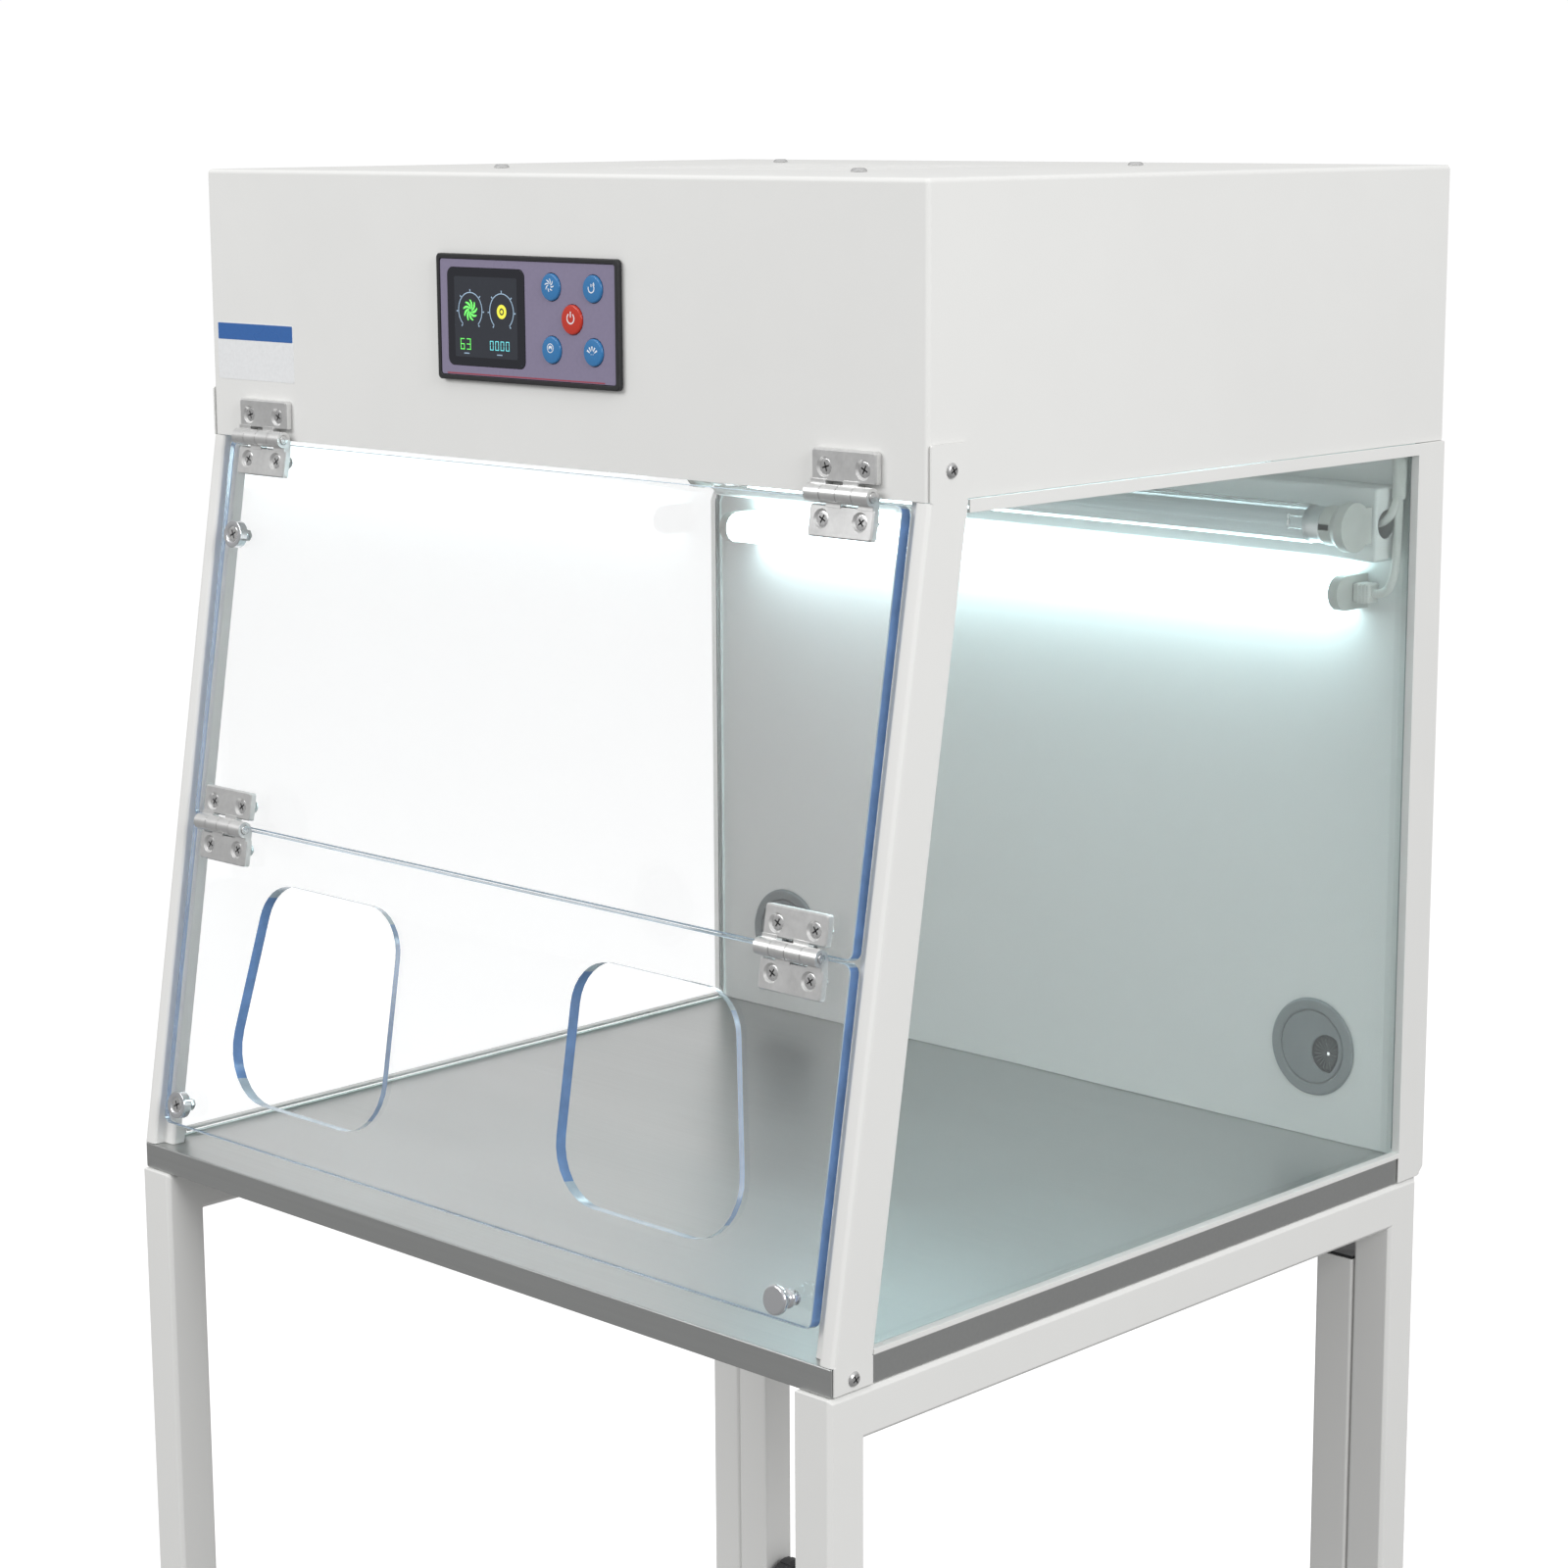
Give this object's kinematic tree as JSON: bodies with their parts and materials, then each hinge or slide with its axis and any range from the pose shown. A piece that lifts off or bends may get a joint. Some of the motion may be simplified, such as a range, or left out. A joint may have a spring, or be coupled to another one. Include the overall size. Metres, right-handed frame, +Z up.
{
  "type": "benchtop fume hood on a stand",
  "caption": "Small fan-filtered hood with a sloped folding acrylic front, arm holes, glass sides and a steel worktop on a square-tube stand.",
  "frame": {"origin": "middle of the object's footprint on the floor", "axes": "+X to the hood's right as the user faces it, +Y from the front to the back, +Z up"},
  "size_m": [0.6596, 0.5986, 1.4025],
  "materials": {
    "white_paint": "fine orange-peel powder coat",
    "worktop_steel": "brushed stainless sheet",
    "zinc": "satin zinc-plated hinge metal",
    "chrome": "polished chrome",
    "fan_metal": "plain sheet",
    "acrylic": "clear polished acrylic with faint blue edges",
    "side_glass": "clear flat glass with faint green edges",
    "lamp_glass": "clear quartz tube",
    "grey_plastic": "moulded, matt",
    "pale_plastic": "moulded, matt",
    "black_plastic": "moulded, satin",
    "overlay": "printed membrane overlay",
    "screen": "dark glossy window",
    "blue_key": "domed key",
    "red_key": "domed key",
    "diffuser": "opal diffuser",
    "cable_white": "soft white sheath",
    "filter_media": "pleated paper media in a frame"
  },
  "bodies": {
    "cabinet": {"housing_shell": "white_paint", "rear_cover": "white_paint", "power_inlet": "black_plastic", "ceiling_panel": "white_paint", "filter_cartridge": "filter_media", "fan_plate": "fan_metal", "fan_motor": "black_plastic", "control_housing": "black_plastic", "control_overlay": "overlay", "display_lens": "screen", "right_front_post": "white_paint", "left_front_post": "white_paint", "right_side_frame": "white_paint", "left_side_frame": "white_paint", "right_glass": "side_glass", "left_glass": "side_glass", "back_wall": "white_paint", "worktop": "worktop_steel", "uv_batten": "white_paint", "uv_holder_right": "pale_plastic", "uv_holder_left": "pale_plastic", "light_bar": "diffuser", "lamp_cables": "cable_white", "stand_right": "white_paint", "stand_left": "white_paint", "back_frame": "white_paint", "top_hinge_left_fixed_leaf": "zinc", "top_hinge_left_pin": "zinc", "grommet_ring_left": "grey_plastic", "top_hinge_right_fixed_leaf": "zinc", "top_hinge_right_pin": "zinc", "grommet_ring_right": "grey_plastic"},
    "upper_door": {"upper_door": "acrylic", "upper_magnet": "zinc", "top_hinge_left_door_leaf": "zinc", "top_hinge_right_door_leaf": "zinc", "mid_hinge_left_upper_leaf": "zinc", "mid_hinge_right_upper_leaf": "zinc", "mid_hinge_left_pin": "zinc", "mid_hinge_right_pin": "zinc"},
    "lower_door": {"lower_door": "acrylic", "lower_magnet": "zinc", "pull_knob": "chrome", "mid_hinge_left_lower_leaf": "zinc", "mid_hinge_right_lower_leaf": "zinc"},
    "fan_key": {"fan_button": "blue_key"},
    "timer_key": {"timer_button": "blue_key"},
    "power_key": {"power_button": "red_key"},
    "uv_key": {"uv_button": "blue_key"},
    "light_key": {"light_button": "blue_key"},
    "impeller": {"fan_impeller": "grey_plastic"},
    "uv_lamp": {"uv_tube": "lamp_glass"},
    "cap_left": {"grommet_cap_left": "grey_plastic"},
    "cap_right": {"grommet_cap_right": "grey_plastic"},
    "clamp_left": {"hand_knob_left": "black_plastic"},
    "clamp_right": {"hand_knob_right": "black_plastic"},
    "foot_front_left": {"foot_front_left": "black_plastic"},
    "foot_front_right": {"foot_front_right": "black_plastic"},
    "foot_rear_left": {"foot_rear_left": "black_plastic"},
    "foot_rear_right": {"foot_rear_right": "black_plastic"}
  },
  "joints": [
    {"name": "upper_door_hinge", "type": "hinge", "parent": "cabinet", "child": "upper_door", "pos_m": [0, -0.21681, 1.22323], "axis": [-1, 0, 0], "range_deg": [0, 95]},
    {"name": "lower_door_hinge", "type": "hinge", "parent": "upper_door", "child": "lower_door", "pos_m": [0, -0.25971, 0.96532], "axis": [-1, 0, 0], "range_deg": [0, 180]},
    {"name": "fan_button_press", "type": "slide", "parent": "cabinet", "child": "fan_key", "axis": [0, 1, 0], "range_m": [0, 0.0008], "stiffness_N_per_m": 400},
    {"name": "timer_button_press", "type": "slide", "parent": "cabinet", "child": "timer_key", "axis": [0, 1, 0], "range_m": [0, 0.0008], "stiffness_N_per_m": 400},
    {"name": "power_button_press", "type": "slide", "parent": "cabinet", "child": "power_key", "axis": [0, 1, 0], "range_m": [0, 0.0008], "stiffness_N_per_m": 400},
    {"name": "uv_button_press", "type": "slide", "parent": "cabinet", "child": "uv_key", "axis": [0, 1, 0], "range_m": [0, 0.0008], "stiffness_N_per_m": 400},
    {"name": "light_button_press", "type": "slide", "parent": "cabinet", "child": "light_key", "axis": [0, 1, 0], "range_m": [0, 0.0008], "stiffness_N_per_m": 400},
    {"name": "impeller_spin", "type": "hinge", "parent": "cabinet", "child": "impeller", "pos_m": [0, 0.04359, 1.35], "axis": [0, 0, 1], "continuous": true},
    {"name": "uv_tube_twist", "type": "hinge", "parent": "cabinet", "child": "uv_lamp", "pos_m": [0, 0.23059, 1.168], "axis": [1, 0, 0], "range_deg": [0, 90]},
    {"name": "grommet_cap_left_turn", "type": "hinge", "parent": "cabinet", "child": "cap_left", "pos_m": [-0.249, 0.27259, 0.802], "axis": [0, -1, 0], "continuous": true},
    {"name": "grommet_cap_right_turn", "type": "hinge", "parent": "cabinet", "child": "cap_right", "pos_m": [0.249, 0.27259, 0.802], "axis": [0, -1, 0], "continuous": true},
    {"name": "hand_knob_left_turn", "type": "hinge", "parent": "cabinet", "child": "clamp_left", "pos_m": [-0.258, 0.27509, 0.259], "axis": [-1, 0, 0], "continuous": true},
    {"name": "hand_knob_right_turn", "type": "hinge", "parent": "cabinet", "child": "clamp_right", "pos_m": [0.258, 0.27509, 0.259], "axis": [1, 0, 0], "continuous": true},
    {"name": "foot_front_left_turn", "type": "hinge", "parent": "cabinet", "child": "foot_front_left", "pos_m": [-0.3128, -0.27771, 0.01], "axis": [0, 0, 1], "continuous": true},
    {"name": "foot_front_right_turn", "type": "hinge", "parent": "cabinet", "child": "foot_front_right", "pos_m": [0.3128, -0.27771, 0.01], "axis": [0, 0, 1], "continuous": true},
    {"name": "foot_rear_left_turn", "type": "hinge", "parent": "cabinet", "child": "foot_rear_left", "pos_m": [-0.3128, 0.27509, 0.01], "axis": [0, 0, 1], "continuous": true},
    {"name": "foot_rear_right_turn", "type": "hinge", "parent": "cabinet", "child": "foot_rear_right", "pos_m": [0.3128, 0.27509, 0.01], "axis": [0, 0, 1], "continuous": true}
  ]
}
